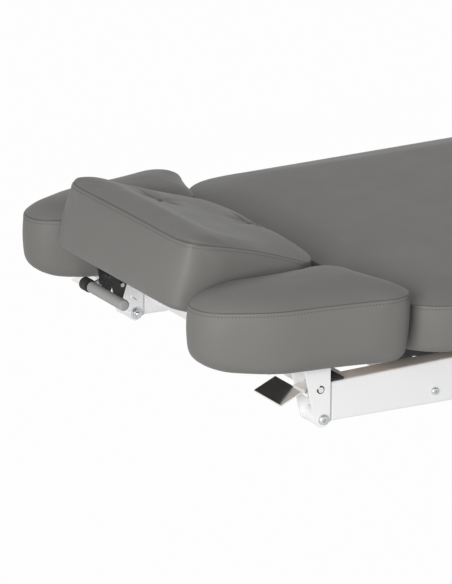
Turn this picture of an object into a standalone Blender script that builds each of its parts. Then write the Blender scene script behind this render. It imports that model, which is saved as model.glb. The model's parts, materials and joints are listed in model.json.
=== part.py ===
"""Spa treatment bed: padded body, tilting headrest and two drop armrests on a hydraulic column.

Metres, +Z up, the head end at -X. The origin is on the floor under the middle of the bed.
"""
import bmesh
import bpy
from math import cos, exp, pi, radians, sin, sqrt, tan
from mathutils import Matrix, Vector

# Whole bed
BED_LENGTH = 1.90
PIVOT_HEIGHT = 0.585
PIVOT_SPAN = 0.550
FIT = 0.0003
RUNNING = 0.00025

# Rails
RAIL_WIDTH = 0.032
RAIL_WALL = 0.0025
RAIL_TOP = 0.049
RAIL_END_DEPTH = 0.056
RAIL_MID_DEPTH = 0.081
RAIL_HEAD_X = 0.016
RAIL_FOOT_SHORT = 0.090
RAIL_EDGE = 0.003
CAP_EDGE = 0.001
BUMPER_LENGTH = 0.020
BUMPER_HEIGHT = 0.004
END_CAP = 0.004
SCREW_X = 0.181
SCREW_Z = 0.006
SCREW_R = 0.003
SCREW_HEAD_R = 0.0055
SCREW_HEAD = 0.004
SCREW_REACH = 0.008

# Armrest pivot
CLEVIS_WIDTH = 0.041
CHEEK = 0.004
CHEEK_TOP = 0.0785
CHEEK_HEAD_X = -0.029
CHEEK_FOOT_X = 0.012
CHEEK_ROUND = 0.0115
BOLT_R = 0.004
BOLT_HEAD_R = 0.0075
BOLT_HEAD = 0.0053
NUT = 0.0065
BARREL_R = 0.0105
LUG_WEB = 0.016
CHEEK_ARC_STEPS = 8
# Slot through the inner cheek: its two ends from the pivot, along the bed and up
SLOT_START = (-0.011, 0.0276)
SLOT_END = (0.002, 0.0185)
SLOT_WIDTH = 0.0025

# Armrests
ARM_PLATE = 0.004
ARM_PLATE_HEAD = 0.085
ARM_PLATE_FOOT = 0.060
ARM_PLATE_IN = 0.085
ARM_BOARD = 0.011
ARM_BOARD_INSET = 0.026
ARM_THICK = 0.091
ARM_CROWN = 0.012
# The underside is this share shorter than the seam, and its edge rounds this much higher at both ends
ARM_SWEEP = 0.30
ARM_SWEEP_LIFT = 1.2
SWEEP_POWER = 4
ARM_POINT_STEP = 0.030
ARM_ARC_STEPS = 4
# Armrest outline: along the bed, depth from the pivot's outer face, and corner radius
ARM_HEAD_OUTER = (-0.176, 0.018, 0.044)
ARM_SHOULDER_OUTER = (-0.095, -0.028, 0.150)
ARM_FOOT_OUTER = (0.119, -0.070, 0.030)
ARM_FOOT_INNER = (0.070, 0.097, 0.042)
ARM_SHOULDER_INNER = (-0.116, 0.097, 0.070)
ARM_HEAD_INNER = (-0.176, 0.069, 0.034)

# Release paddles
PADDLE_X = -0.004
PADDLE_Z = 0.043
PADDLE_SHAFT_R = 0.004
PADDLE_REACH = 0.054
PADDLE_DROP = 0.016
PADDLE_START = 0.0205
PADDLE_SHEET = 0.002
PADDLE_ARM_WIDTH = 0.024
PADDLE_SPAN = 0.070
PADDLE_INSET = 0.012
# How far each paddle is turned up at rest
PADDLE_REST = {"near": 0.0, "far": radians(12.0)}

# Headrest
TILT = radians(18.0)
HINGE_X = 0.0397
HINGE_Z = 0.0739
HEADREST_LENGTH = 0.243
HEADREST_WIDTH = 0.350
HEADREST_THICK = 0.090
HEADREST_CROWN = 0.016
HEADREST_ARCH = 0.009
HEADREST_OVERHANG = 0.012
HEADREST_CORNER = 0.009
HEADREST_COLUMNS = 20
HEADREST_ROWS = 22
HEADREST_BOARD = 0.012
HEADREST_BOARD_INSET = 0.018
VALLEY_SHARE = 0.275
VALLEY_DEPTH = 0.010
VALLEY_WIDTH = 0.026
TUFT_DEPTH = 0.008
TUFT_WIDTH = 0.014
TUFTS = ((-0.109, 0.083), (-0.014, 0.018))
LEAF = 0.003
LEAF_LENGTH = 0.060
LEAF_WIDTH = 0.020
LEAF_AT = 0.066
KNUCKLE_R = 0.009
HINGE_ROD_R = 0.005
HINGE_ROD_OVER = 0.010
LUG_AT = 0.085
LUG = 0.006
LUG_FOOT_WIDTH = 0.026
CROSSBAR = 0.030
CROSSBAR_TOP = 0.035

# Headrest release handle
BRACKET_NEAR = 0.115
BRACKET_FAR = 0.153
BRACKET_SHEET = 0.003
BRACKET_HEAD_X = -0.154
BRACKET_LENGTH = 0.034
BRACKET_DROP = 0.050
BRACKET_FRONT = 0.015
BRACKET_SLOPE = 0.0204
HANDLE_X = -0.128
HANDLE_Z = -0.022
HANDLE_PIN_R = 0.003
HANDLE_BAR_R = 0.004
HANDLE_LEVER = 0.004
GRIP_DX = -0.022
GRIP_DZ = -0.018
GRIP_R = 0.008
GRIP_NEAR = 0.058
GRIP_CAP_R = 0.0095
GRIP_CAP = 0.016

# Body
BODY_GAP = 0.105
BODY_WIDTH = 0.676
BODY_THICK = 0.069
BODY_CROWN = 0.016
BODY_POINT_STEP = 0.110
BODY_ROUND = 0.095
BODY_BOARD = 0.018
BODY_BOARD_WIDTH = 0.540
BODY_BOARD_INSET = 0.006
BODY_BOARD_ROUND = 0.060
BODY_BOARD_STEP = 0.500
SPACER = 0.011
SPACER_LENGTH = 0.050
SPACER_FROM_END = 0.140

# Cushion profile
DRAWN_IN = 0.005
WELT = 0.0015
EDGE_ROUND = 0.006
UNDER_ROUND = 0.014
RECESS = 0.0006
# Rows of points over the top, as shares of the seam's outline, and how square the crown is
TOP_ROWS = (0.955, 0.88, 0.74, 0.52, 0.27)
CROWN_POWER = 6
HEADREST_POWER = 8
CORNER_POWER = 14

# Saddle and cross members
BEAM = 0.045
BEAM_TOP = 0.020
BEAM_SPREAD = 0.120
SADDLE = 0.008
SADDLE_LENGTH = 0.320
SADDLE_WIDTH = 0.240
CROSS_SECTION = 0.030
CROSS_TOP = 0.030
BEAM_EDGE = 0.002

# Lift column
OUTER = 0.160
OUTER_WALL = 0.005
OUTER_TOP = 0.430
INNER = 0.140
INNER_WALL = 0.005
INNER_BOTTOM = 0.190
COLLAR = 0.008
COLLAR_GAP = 0.0008
GLIDE = 0.030
CYLINDER_R = 0.036
CYLINDER_TOP = 0.415
CYLINDER_FLOOR = 0.008
RAM_R = 0.022
RAM_GAP = 0.0006
RAM_BOTTOM = 0.195

# Base
BASE_LENGTH = 1.000
BASE_WIDTH = 0.520
BASE_BAR = 0.060
BASE_SPINE_WIDTH = 0.180
BASE_HEIGHT = 0.045
FOOT_R = 0.028
FOOT_HEIGHT = 0.020
FOOT_EDGE = 0.002
FOOT_FROM_END = 0.045
PUMP_LENGTH = 0.110
PUMP_WIDTH = 0.090
PUMP_HEIGHT = 0.095
PUMP_GAP = 0.012
PEDAL_HEIGHT = 0.070
PEDAL_PIN_R = 0.007
PEDAL_REACH = 0.250
PEDAL_ARM_WIDTH = 0.024
PEDAL_ARM = 0.012
PAD_LENGTH = 0.090
PAD_WIDTH = 0.060
PAD_THICK = 0.012
BASE_EDGE = 0.004
PAD_EDGE = 0.003

ROUND = 20
LARGE_ROUND = 28
HEX = 6
ARC_STEPS = 6
SIDES = (("near", -1), ("far", 1))


def clear_scene():
    for old in list(bpy.data.objects):
        bpy.data.objects.remove(old, do_unlink=True)


def material(name, colour, roughness, metallic=0.0):
    made = bpy.data.materials.new(name)
    made.use_nodes = True
    shader = made.node_tree.nodes["Principled BSDF"]
    shader.inputs["Base Color"].default_value = (*colour, 1.0)
    shader.inputs["Roughness"].default_value = roughness
    shader.inputs["Metallic"].default_value = metallic
    made.diffuse_color = (*colour, 1.0)
    return made


def datum(name, place=(0, 0, 0), turn=0.0, parent=None):
    """An empty that carries one rigid body, on that body's joint axis."""
    empty = bpy.data.objects.new(name + "_datum", None)
    empty.location = place
    empty.rotation_euler = (0, turn, 0)
    empty.parent = parent
    bpy.context.scene.collection.objects.link(empty)
    return empty


def solid(name, shape, finish, body, bevel=0.0, segments=2):
    """Makes one named piece from a mesh in its body's own coordinates."""
    bmesh.ops.recalc_face_normals(shape, faces=shape.faces)
    mesh = bpy.data.meshes.new(name)
    shape.to_mesh(mesh)
    shape.free()
    mesh.shade_smooth()
    mesh.set_sharp_from_angle(angle=radians(32))
    mesh.materials.append(MATERIALS[finish].copy())
    piece = bpy.data.objects.new(name, mesh)
    piece.parent = body
    bpy.context.scene.collection.objects.link(piece)
    if bevel:
        rounding = piece.modifiers.new("edge", "BEVEL")
        rounding.width = bevel
        rounding.segments = segments
        rounding.limit_method = "ANGLE"
    return piece


def combine(piece, shape, operation):
    """Joins a shape to a piece, or cuts it out, and hides the shape itself."""
    bmesh.ops.recalc_face_normals(shape, faces=shape.faces)
    mesh = bpy.data.meshes.new(piece.name + "_tool")
    shape.to_mesh(mesh)
    shape.free()
    tool = bpy.data.objects.new(piece.name + "_tool", mesh)
    tool.parent = piece.parent
    tool.hide_render = True
    tool.display_type = "WIRE"
    bpy.context.scene.collection.objects.link(tool)
    step = piece.modifiers.new("shape", "BOOLEAN")
    step.operation = operation
    step.object = tool


def weld(piece, *shapes):
    for shape in shapes:
        combine(piece, shape, "UNION")


def cut(piece, *shapes):
    for shape in shapes:
        combine(piece, shape, "DIFFERENCE")


def block(corner, opposite):
    shape = bmesh.new()
    centre = (Vector(corner) + Vector(opposite)) / 2
    size = Vector(abs(first - last) for first, last in zip(corner, opposite))
    bmesh.ops.create_cube(shape, size=1.0, matrix=Matrix.LocRotScale(centre, None, size))
    return shape


def bar(start, end, radius, segments=ROUND):
    """A round or six-sided bar between two points."""
    start = Vector(start)
    end = Vector(end)
    along = end - start
    turn = along.to_track_quat("Z", "Y").to_matrix().to_4x4()
    shape = bmesh.new()
    place = Matrix.Translation((start + end) / 2) @ turn
    bmesh.ops.create_cone(shape, cap_ends=True, segments=segments, radius1=radius, radius2=radius,
                          depth=along.length, matrix=place)
    return shape


def prism(outline, y_start, y_end):
    """An outline of (x, z) points, run along Y."""
    shape = bmesh.new()
    face = shape.faces.new([shape.verts.new((x, y_start, z)) for x, z in outline])
    run = bmesh.ops.extrude_face_region(shape, geom=[face])
    moved = [item for item in run["geom"] if isinstance(item, bmesh.types.BMVert)]
    bmesh.ops.translate(shape, verts=moved, vec=(0, y_end - y_start, 0))
    return shape


def middle_x(outline):
    """The middle of an outline along the bed, and its half length."""
    places = [point.x for point, inward, share in outline]
    return (max(places) + min(places)) / 2, (max(places) - min(places)) / 2


def slab(outline, bottom, top, inset=0.0, sweep=0.0):
    """A board: an outline with inward normals, drawn in by the inset, made shorter and run along Z."""
    shape = bmesh.new()
    points = [point + inward * inset for point, inward, share in outline]
    middle, half = middle_x(outline)
    for point in points:
        point.x = middle + (point.x - middle) * (1 - sweep)
    face = shape.faces.new([shape.verts.new((p.x, p.y, bottom)) for p in points])
    run = bmesh.ops.extrude_face_region(shape, geom=[face])
    moved = [item for item in run["geom"] if isinstance(item, bmesh.types.BMVert)]
    bmesh.ops.translate(shape, verts=moved, vec=(0, 0, top - bottom))
    return shape


def rounded_outline(corners, spacing, arc_steps=ARC_STEPS):
    """Points round a polygon with rounded corners, given counter-clockwise as (x, y, radius).

    Each point comes with its inward normal and with a share that is 0 on the corners and 1
    in the middle of a straight side.
    """
    arcs = []
    for i, (x, y, radius) in enumerate(corners):
        corner = Vector((x, y))
        back = (Vector(corners[i - 1][:2]) - corner).normalized()
        ahead = (Vector(corners[(i + 1) % len(corners)][:2]) - corner).normalized()
        half = back.angle(ahead) / 2
        centre = corner + (back + ahead).normalized() * radius / sin(half)
        first = corner + back * radius / tan(half) - centre
        sweep = pi - 2 * half
        arc = []
        for k in range(arc_steps + 1):
            spoke = Matrix.Rotation(sweep * k / arc_steps, 2) @ first
            arc.append((centre + spoke, -spoke.normalized(), 0.0))
        arcs.append(arc)
    outline = []
    for i, arc in enumerate(arcs):
        outline += arc
        start = arc[-1][0]
        run = arcs[(i + 1) % len(arcs)][0][0] - start
        steps = max(1, round(run.length / spacing))
        inward = Vector((-run.y, run.x)).normalized()
        for k in range(1, steps):
            share = k / steps
            outline.append((start + run * share, inward, 4 * share * (1 - share)))
    return outline


def ring(shape, outline, inset, drawn, height):
    """One closed row of points round a cushion, at one height."""
    row = []
    for point, inward, share in outline:
        place = point + inward * (inset + drawn * share)
        row.append(shape.verts.new((place.x, place.y, height)))
    return row


def bridge(shape, lower, upper):
    count = len(lower)
    for i in range(count):
        j = (i + 1) % count
        shape.faces.new((lower[i], lower[j], upper[j], upper[i]))


def cushion_sides(shape, outline, bottom, seam, sweep=0.0, lift=0.0):
    """The flat underside, an edge that sweeps up towards the ends, and the drawn-in sides, up to the seam."""
    middle, half = middle_x(outline)
    turned = 1 - sqrt(0.5)
    rows = []
    for inset, rise in ((1.0, 0.0), (turned, turned), (0.0, 1.0)):
        row = ring(shape, outline, UNDER_ROUND * inset, 0.0, bottom + UNDER_ROUND * rise)
        for vert in row:
            from_middle = vert.co.x - middle
            vert.co.x = middle + from_middle * (1 - sweep * inset)
            vert.co.z += UNDER_ROUND * rise * lift * (from_middle / half) ** SWEEP_POWER
        rows.append(row)
    for drawn, height in ((DRAWN_IN, (bottom + seam) / 2), (DRAWN_IN / 2, seam - EDGE_ROUND)):
        rows.append(ring(shape, outline, 0.0, drawn, height))
    for lower, upper in zip(rows, rows[1:]):
        bridge(shape, lower, upper)
    shape.faces.new(reversed(rows[0]))
    return rows[-1]


def crowned_cushion(outline, bottom, seam, crown, sweep=0.0, lift=0.0):
    """A padded cushion whose top rises from a stitched seam to a gentle crown."""
    shape = bmesh.new()
    row = cushion_sides(shape, outline, bottom, seam, sweep, lift)
    centre = sum((point for point, inward, share in outline), Vector((0, 0))) / len(outline)
    seam_row = ring(shape, outline, WELT, DRAWN_IN / 2, seam)
    bridge(shape, row, seam_row)
    row = seam_row
    for size in TOP_ROWS:
        height = seam + crown * (1 - size ** CROWN_POWER)
        upper = []
        for vert in seam_row:
            place = centre + (vert.co.xy - centre) * size
            upper.append(shape.verts.new((place.x, place.y, height)))
        bridge(shape, row, upper)
        row = upper
    peak = shape.verts.new((centre.x, centre.y, seam + crown))
    for i, vert in enumerate(row):
        shape.faces.new((vert, row[(i + 1) % len(row)], peak))
    return shape


def dip(distance, width):
    return exp(-(distance / width) ** 2)


def headrest_top(x, y, low_x, high_x):
    """Height of the headrest's top over its seam: a crown, a valley across it and two tufts."""
    u = 2 * (x - low_x) / (high_x - low_x) - 1
    v = 2 * y / HEADREST_WIDTH
    over_arch = HEADREST_CROWN - HEADREST_ARCH
    rise = HEADREST_ARCH * (1 - u ** 2) + over_arch * (1 - u ** HEADREST_POWER) * (1 - v ** HEADREST_POWER)
    valley_x = low_x + VALLEY_SHARE * (high_x - low_x)
    inside = max(0.0, 1 - v ** HEADREST_POWER) * max(0.0, 1 - u ** HEADREST_POWER)
    across = dip(x - valley_x, VALLEY_WIDTH)
    tufts = sum(dip(x - tuft_x, TUFT_WIDTH) * dip(y - tuft_y, TUFT_WIDTH) for tuft_x, tuft_y in TUFTS)
    return rise - inside * (VALLEY_DEPTH * across + TUFT_DEPTH * tufts)


def crowded(share):
    """A place from -1 to 1 for a share from 0 to 1, closer together towards both ends."""
    even = 2 * share - 1
    return (even + sin(even * pi / 2)) / 2


def headrest_outline(columns=HEADREST_COLUMNS, rows=HEADREST_ROWS):
    """A grid of points in the headrest's plan, with rounded corners."""
    high_x = HEADREST_OVERHANG
    low_x = high_x - HEADREST_LENGTH
    middle = (high_x + low_x) / 2
    grid = []
    for i in range(columns + 1):
        u = crowded(i / columns)
        line = []
        for j in range(rows + 1):
            v = crowded(j / rows)
            x = middle + u * (HEADREST_LENGTH / 2 - HEADREST_CORNER * v ** CORNER_POWER)
            y = v * (HEADREST_WIDTH / 2 - HEADREST_CORNER * u ** CORNER_POWER)
            line.append(Vector((x, y)))
        grid.append(line)
    return grid, low_x, high_x


def grid_border(grid):
    """The grid's border, counter-clockwise, as an outline with inward normals."""
    columns = len(grid) - 1
    rows = len(grid[0]) - 1
    path = [(i, 0, i / columns) for i in range(columns)]
    path += [(columns, j, j / rows) for j in range(rows)]
    path += [(i, rows, i / columns) for i in range(columns, 0, -1)]
    path += [(0, j, j / rows) for j in range(rows, 0, -1)]
    border = []
    for k, (i, j, share) in enumerate(path):
        before = grid[path[k - 1][0]][path[k - 1][1]]
        after = path[(k + 1) % len(path)]
        run = grid[after[0]][after[1]] - before
        inward = Vector((-run.y, run.x)).normalized()
        border.append((grid[i][j], inward, 4 * share * (1 - share)))
    return path, border


def headrest_shape(bottom, seam):
    grid, low_x, high_x = headrest_outline()
    path, border = grid_border(grid)
    shape = bmesh.new()
    lower = cushion_sides(shape, border, bottom, seam)
    at_border = {(i, j): k for k, (i, j, share) in enumerate(path)}
    top = {}
    for i, line in enumerate(grid):
        for j, point in enumerate(line):
            place = point
            if (i, j) in at_border:
                on_border, inward, share = border[at_border[i, j]]
                place = on_border + inward * (WELT + DRAWN_IN / 2 * share)
                height = seam + HEADREST_ARCH * (1 - crowded(i / HEADREST_COLUMNS) ** 2)
            else:
                height = seam + headrest_top(point.x, point.y, low_x, high_x)
            top[i, j] = shape.verts.new((place.x, place.y, height))
    bridge(shape, lower, [top[i, j] for i, j, share in path])
    for i in range(len(grid) - 1):
        for j in range(len(grid[0]) - 1):
            shape.faces.new((top[i, j], top[i + 1, j], top[i + 1, j + 1], top[i, j + 1]))
    return shape


def inward_y(side, depth):
    """The Y of a point at a depth from the outer face of one side's pivot."""
    return side * (PIVOT_SPAN / 2 - depth)


def half_turn():
    return [pi * k / CHEEK_ARC_STEPS for k in range(CHEEK_ARC_STEPS + 1)]


def square_tube(section, wall, bottom, top):
    half = section / 2
    hollow = half - wall
    return (block((-half, -half, bottom), (half, half, top)),
            block((-hollow, -hollow, bottom - wall), (hollow, hollow, top + wall)))


def make_headrest(headrest, handle):
    board_bottom = KNUCKLE_R + FIT
    shape = headrest_shape(board_bottom, board_bottom + HEADREST_THICK)
    tilt = Matrix.Rotation(TILT, 3, "Y")
    reach = -min((tilt @ vert.co).x for vert in shape.verts) - HINGE_X
    cushion = solid("headrest_cushion", shape, "vinyl", headrest)
    grid, low_x, high_x = headrest_outline()
    path, border = grid_border(grid)
    set_board("headrest_board", cushion, border, board_bottom, HEADREST_BOARD, HEADREST_BOARD_INSET)
    for word, side in SIDES:
        ends = [side * (LEAF_AT + way * LEAF_WIDTH / 2) for way in (-1, 1)]
        plate = block((-LEAF_LENGTH, ends[0], KNUCKLE_R - LEAF), (0, ends[1], KNUCKLE_R))
        leaf = solid("headrest_hinge_leaf_" + word, plate, "black", headrest)
        weld(leaf, bar((0, ends[0], 0), (0, ends[1], 0), KNUCKLE_R))
        bore = HINGE_ROD_R + RUNNING
        cut(leaf, bar((0, ends[0] - side * LEAF, 0), (0, ends[1] + side * LEAF, 0), bore))
    make_bracket(headrest, board_bottom)
    make_handle(handle)
    return reach


def set_board(name, cushion, outline, bottom, thickness, inset, sweep=0.0):
    """A plywood board let into the underside of its cushion."""
    solid(name, slab(outline, bottom, bottom + thickness, inset, sweep), "plywood", cushion.parent)
    room = sweep - RECESS / middle_x(outline)[1]
    cut(cushion, slab(outline, bottom - thickness, bottom + thickness + RECESS, inset - RECESS, room))


def make_bracket(headrest, board_bottom):
    """A folded black bracket under the board, which carries the release handle."""
    top = board_bottom - FIT
    foot_x = BRACKET_HEAD_X + BRACKET_LENGTH
    plate = block((BRACKET_HEAD_X, BRACKET_NEAR, top - BRACKET_SHEET), (foot_x, BRACKET_FAR, top))
    bracket = solid("headrest_bracket", plate, "black", headrest)
    for y in (BRACKET_NEAR, BRACKET_FAR - BRACKET_SHEET):
        outline = ((BRACKET_HEAD_X, top), (BRACKET_HEAD_X, top - BRACKET_FRONT),
                   (BRACKET_HEAD_X + BRACKET_SLOPE, top - BRACKET_DROP),
                   (foot_x, top - BRACKET_DROP), (foot_x, top))
        weld(bracket, prism(outline, y, y + BRACKET_SHEET))
    ends = [(HANDLE_X, y, HANDLE_Z) for y in (BRACKET_NEAR - LEAF, BRACKET_FAR + LEAF)]
    cut(bracket, bar(*ends, HANDLE_PIN_R + RUNNING))


def make_handle(handle):
    """The lever on its pin, with the bar that carries the grip."""
    lever_y = BRACKET_FAR + 2 * FIT
    lever_end = lever_y + HANDLE_LEVER
    cap_end = lever_end + FIT + GRIP_CAP

    def round_bar(y_start, y_end, radius):
        return bar((GRIP_DX, y_start, GRIP_DZ), (GRIP_DX, y_end, GRIP_DZ), radius)

    rod = round_bar(GRIP_NEAR + 2 * FIT, cap_end - 2 * FIT, HANDLE_BAR_R)
    lever = solid("handle_lever", rod, "steel", handle)
    spine = Vector((GRIP_DX, 0, GRIP_DZ))
    across = Vector((spine.z, 0, -spine.x)).normalized() * HANDLE_BAR_R
    outline = [(p.x, p.z) for p in (across, spine + across, spine - across, -across)]
    weld(lever, bar((0, BRACKET_NEAR - LEAF, 0), (0, lever_end - HANDLE_LEVER / 4, 0), HANDLE_PIN_R),
         prism(outline, lever_y, lever_end))
    grip = solid("handle_grip", round_bar(GRIP_NEAR, lever_y - FIT, GRIP_R), "foam", handle)
    cut(grip, round_bar(GRIP_NEAR + FIT, lever_y + LEAF, HANDLE_BAR_R + FIT))
    cap = solid("handle_end_cap", round_bar(lever_end + FIT, cap_end, GRIP_CAP_R), "rubber", handle)
    cut(cap, round_bar(lever_y, cap_end - FIT, HANDLE_BAR_R + FIT))


def armrest_outline(side):
    corners = (ARM_HEAD_OUTER, ARM_SHOULDER_OUTER, ARM_FOOT_OUTER,
               ARM_FOOT_INNER, ARM_SHOULDER_INNER, ARM_HEAD_INNER)
    placed = [(x, inward_y(side, depth), radius) for x, depth, radius in corners]
    if side > 0:
        placed.reverse()
    return rounded_outline(placed, ARM_POINT_STEP, ARM_ARC_STEPS)


def make_armrest(word, side, armrest, paddle):
    plate_bottom = CHEEK_TOP
    board_bottom = plate_bottom + ARM_PLATE + FIT
    outline = armrest_outline(side)
    seam = board_bottom + ARM_THICK
    shape = crowned_cushion(outline, board_bottom, seam, ARM_CROWN, ARM_SWEEP, ARM_SWEEP_LIFT)
    cushion = solid("armrest_cushion_" + word, shape, "vinyl", armrest)
    set_board("armrest_board_" + word, cushion, outline, board_bottom, ARM_BOARD, ARM_BOARD_INSET, ARM_SWEEP)
    plate = block((-ARM_PLATE_HEAD, inward_y(side, 0), plate_bottom),
                  (ARM_PLATE_FOOT, inward_y(side, ARM_PLATE_IN), plate_bottom + ARM_PLATE))
    bracket = solid("armrest_bracket_" + word, plate, "white", armrest)
    cheek = [(CHEEK_FOOT_X, CHEEK_TOP + ARM_PLATE / 2)]
    cheek += [(CHEEK_ROUND * cos(angle), -CHEEK_ROUND * sin(angle)) for angle in half_turn()]
    cheek += [(CHEEK_HEAD_X, CHEEK_TOP + ARM_PLATE / 2)]
    for depth in (0, CLEVIS_WIDTH - CHEEK):
        weld(bracket, prism(cheek, inward_y(side, depth), inward_y(side, depth + CHEEK)))
    through = [inward_y(side, -CHEEK), inward_y(side, CLEVIS_WIDTH + CHEEK)]
    for x, z, radius in ((0, 0, BOLT_R + FIT), (PADDLE_X, PADDLE_Z, PADDLE_SHAFT_R + RUNNING)):
        cut(bracket, bar((x, through[0], z), (x, through[1], z), radius))
    slot = (SLOT_START, SLOT_END,
            (SLOT_END[0], SLOT_END[1] + SLOT_WIDTH), (SLOT_START[0], SLOT_START[1] + SLOT_WIDTH))
    cut(bracket, prism(slot, inward_y(side, CLEVIS_WIDTH - 2 * CHEEK), through[1]))

    def across(start, end, radius, segments=ROUND):
        return bar((0, inward_y(side, start), 0), (0, inward_y(side, end), 0), radius, segments)

    nut_end = CLEVIS_WIDTH + FIT + NUT
    bolt = solid("pivot_bolt_" + word, across(-FIT - BOLT_HEAD, -FIT, BOLT_HEAD_R, HEX), "zinc", armrest)
    weld(bolt, across(-BOLT_HEAD / 2, nut_end + BOLT_R / 2, BOLT_R))
    nut = solid("pivot_nut_" + word, across(CLEVIS_WIDTH + FIT, nut_end, BOLT_HEAD_R, HEX), "zinc", armrest)
    cut(nut, across(CLEVIS_WIDTH, nut_end + NUT, BOLT_R + FIT))
    make_paddle(word, side, paddle)


def make_paddle(word, side, paddle):
    """A chrome blade on an arm between the cheeks; both sides carry the same hand of paddle."""
    slope = (PADDLE_DROP - PADDLE_SHEET) / (PADDLE_REACH - PADDLE_START)
    rise = PADDLE_SHEET
    lip = (-PADDLE_START, -rise)
    tip = (-PADDLE_REACH, -rise - slope * (PADDLE_REACH - PADDLE_START))
    blade = [lip, (lip[0], lip[1] - PADDLE_SHEET), (tip[0], tip[1] - PADDLE_SHEET), tip]
    blade_y = min(inward_y(side, 0), inward_y(side, CLEVIS_WIDTH)) + PADDLE_INSET
    piece = solid("release_paddle_" + word, prism(blade, blade_y, blade_y + PADDLE_SPAN), "chrome", paddle)
    arm = [inward_y(side, (CLEVIS_WIDTH + way * PADDLE_ARM_WIDTH) / 2) for way in (-1, 1)]
    shaft_ends = [(0, inward_y(side, depth), 0) for depth in (-CHEEK / 2, CLEVIS_WIDTH + CHEEK)]
    weld(piece,
         block((-PADDLE_START - PADDLE_SHEET, arm[0], -rise - PADDLE_SHEET), (0, arm[1], PADDLE_SHEET)),
         bar(*shaft_ends, PADDLE_SHAFT_R))


def rail_outline(foot_x, column_x, shrink=0.0, over=0.0):
    """The rail's side: a straight top, and a bottom that is deepest over the column."""
    top = RAIL_TOP - shrink
    end = RAIL_TOP - RAIL_END_DEPTH + shrink
    deepest = RAIL_TOP - RAIL_MID_DEPTH + shrink
    head_x = RAIL_HEAD_X - over
    return [(head_x, top), (head_x, end), (column_x, deepest), (foot_x + over, end), (foot_x + over, top)]


def make_rail(word, side, carriage, foot_x, column_x):
    outer = (CLEVIS_WIDTH - RAIL_WIDTH) / 2
    faces = [inward_y(side, outer), inward_y(side, outer + RAIL_WIDTH)]
    walls = [inward_y(side, outer + RAIL_WALL), inward_y(side, outer + RAIL_WIDTH - RAIL_WALL)]
    rail = solid("rail_" + word, prism(rail_outline(foot_x, column_x), *faces), "white", carriage, RAIL_EDGE)
    cut(rail, prism(rail_outline(foot_x, column_x, RAIL_WALL, RAIL_WIDTH), *walls),
        bar((SCREW_X, inward_y(side, outer - RAIL_WALL), SCREW_Z),
            (SCREW_X, inward_y(side, outer + 2 * RAIL_WALL), SCREW_Z), SCREW_R + FIT))
    head = bar((SCREW_X, inward_y(side, outer - FIT - SCREW_HEAD), SCREW_Z),
               (SCREW_X, inward_y(side, outer - FIT), SCREW_Z), SCREW_HEAD_R, HEX)
    screw = solid("rail_screw_" + word, head, "zinc", carriage)
    weld(screw, bar((SCREW_X, inward_y(side, outer - SCREW_HEAD / 2), SCREW_Z),
                    (SCREW_X, inward_y(side, outer + SCREW_REACH), SCREW_Z), SCREW_R))
    bottom = RAIL_TOP - RAIL_END_DEPTH
    barrel_ends = [(0, inward_y(side, depth), 0) for depth in (CHEEK + FIT, CLEVIS_WIDTH - CHEEK - FIT)]
    barrel = bar(*barrel_ends, BARREL_R)
    lug = solid("rail_lug_" + word, barrel, "white", carriage)
    web = [inward_y(side, (CLEVIS_WIDTH + way * LUG_WEB) / 2) for way in (-1, 1)]
    plate_x = RAIL_HEAD_X - FIT
    weld(lug, block((plate_x - CHEEK / 2, faces[0], bottom), (plate_x, faces[1], RAIL_TOP)),
         block((0, web[0], -BARREL_R / 2), (plate_x - CHEEK / 4, web[1], BARREL_R / 2)))
    cut(lug, bar((0, inward_y(side, 0), 0), (0, inward_y(side, CLEVIS_WIDTH), 0), BOLT_R + FIT))
    bumper = block((RAIL_HEAD_X, faces[0], RAIL_TOP + FIT),
                   (RAIL_HEAD_X + BUMPER_LENGTH, faces[1], RAIL_TOP + FIT + BUMPER_HEIGHT))
    solid("rail_bumper_" + word, bumper, "rubber", carriage, CAP_EDGE, 1)
    cap_x = foot_x + FIT
    cap = block((cap_x, faces[0], bottom), (cap_x + END_CAP, faces[1], RAIL_TOP))
    solid("rail_end_cap_" + word, cap, "rubber", carriage, CAP_EDGE, 1)
    for place, x in (("head", BODY_GAP + SPACER_FROM_END), ("foot", foot_x - SPACER_FROM_END)):
        solid("board_spacer_" + place + "_" + word,
              block((x - SPACER_LENGTH / 2, faces[0], RAIL_TOP + FIT),
                    (x + SPACER_LENGTH / 2, faces[1], RAIL_TOP + SPACER - FIT)), "rubber", carriage)


def make_body(carriage, body_end):
    half = BODY_WIDTH / 2
    corners = [(BODY_GAP, -half, BODY_ROUND), (body_end, -half, BODY_ROUND),
               (body_end, half, BODY_ROUND), (BODY_GAP, half, BODY_ROUND)]
    board_bottom = RAIL_TOP + SPACER
    bottom = board_bottom + BODY_BOARD + FIT
    outline = rounded_outline(corners, BODY_POINT_STEP)
    shape = crowned_cushion(outline, bottom, bottom + BODY_THICK, BODY_CROWN)
    solid("body_cushion", shape, "vinyl", carriage)
    board_half = BODY_BOARD_WIDTH / 2
    board_head = BODY_GAP + BODY_BOARD_INSET
    board_end = body_end - BODY_BOARD_INSET
    corners = [(board_head, -board_half, BODY_BOARD_ROUND), (board_end, -board_half, BODY_BOARD_ROUND),
               (board_end, board_half, BODY_BOARD_ROUND), (board_head, board_half, BODY_BOARD_ROUND)]
    board = slab(rounded_outline(corners, BODY_BOARD_STEP), board_bottom, board_bottom + BODY_BOARD)
    solid("body_board", board, "plywood", carriage)


def between_rails():
    """Half the clear width between the rails, less the fit."""
    return PIVOT_SPAN / 2 - (CLEVIS_WIDTH + RAIL_WIDTH) / 2 - FIT


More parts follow.
